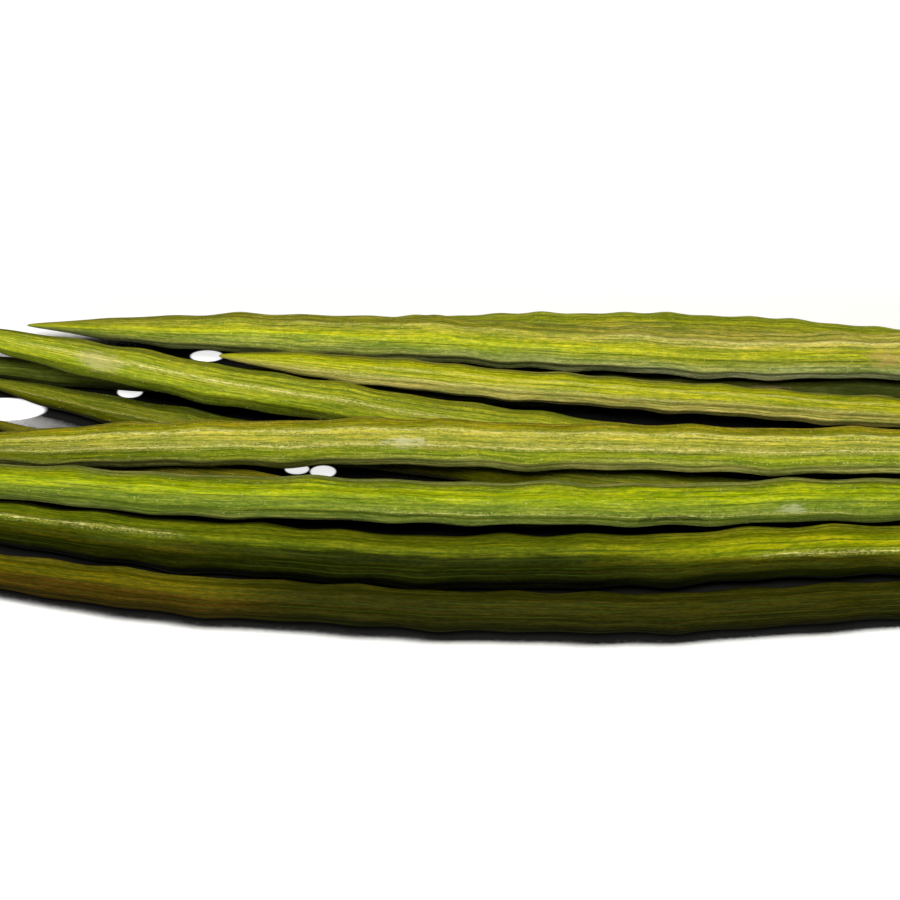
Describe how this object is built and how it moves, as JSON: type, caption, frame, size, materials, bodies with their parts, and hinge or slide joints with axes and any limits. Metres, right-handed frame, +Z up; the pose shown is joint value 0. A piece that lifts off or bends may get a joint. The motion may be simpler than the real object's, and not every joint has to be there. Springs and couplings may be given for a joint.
{
  "type": "bunch of moringa pods",
  "caption": "Loose low heap of long slender ribbed moringa pods lying side by side, with tapering beaks at one end and short cut stalks at the other.",
  "frame": {"origin": "on the ground under the middle of the heap's box", "axes": "+X along the pods, towards their cut stalks; +Y to the back of the heap; +Z up"},
  "size_m": [0.5222, 0.1386, 0.035],
  "materials": {
    "skin_bright": "waxy green plant skin",
    "skin_green": "waxy green plant skin",
    "skin_olive": "waxy green plant skin",
    "skin_scurfy": "waxy green plant skin"
  },
  "bodies": {
    "root": {"pod_01": "skin_olive", "pod_02": "skin_olive", "pod_03": "skin_green", "pod_04": "skin_olive", "pod_05": "skin_green", "pod_06": "skin_olive", "pod_07": "skin_bright", "pod_08": "skin_bright", "pod_09": "skin_bright", "pod_10": "skin_green", "pod_11": "skin_scurfy"}
  },
  "joints": []
}
